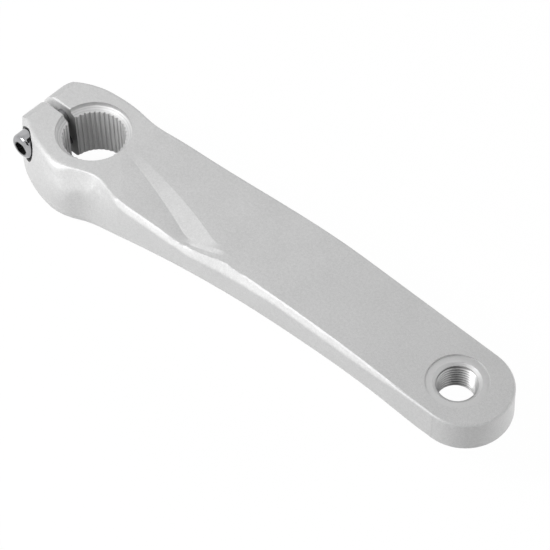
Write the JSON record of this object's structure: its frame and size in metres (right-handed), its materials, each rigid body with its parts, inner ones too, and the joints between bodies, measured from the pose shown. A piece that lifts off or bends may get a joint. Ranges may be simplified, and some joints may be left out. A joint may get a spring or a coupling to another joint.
{
  "type": "bicycle crank arm",
  "caption": "Left bicycle crank arm with a splined pinch clamp for the spindle, a swept and tapered forged arm, and a threaded eye for the pedal.",
  "frame": {"origin": "on the spindle axis, at the inner face of the clamp boss", "axes": "+X from the spindle axis to the pedal eye, +Z along the spindle axis to the outer side, away from the bicycle"},
  "size_m": [0.2178, 0.046, 0.0342],
  "materials": {
    "arm_silver": "fine blasted, clear anodised silver",
    "bolt_chrome": "polished"
  },
  "bodies": {
    "root": {"crank_arm": "arm_silver", "upper_pinch_bolt": "bolt_chrome", "lower_pinch_bolt": "bolt_chrome"}
  },
  "joints": []
}
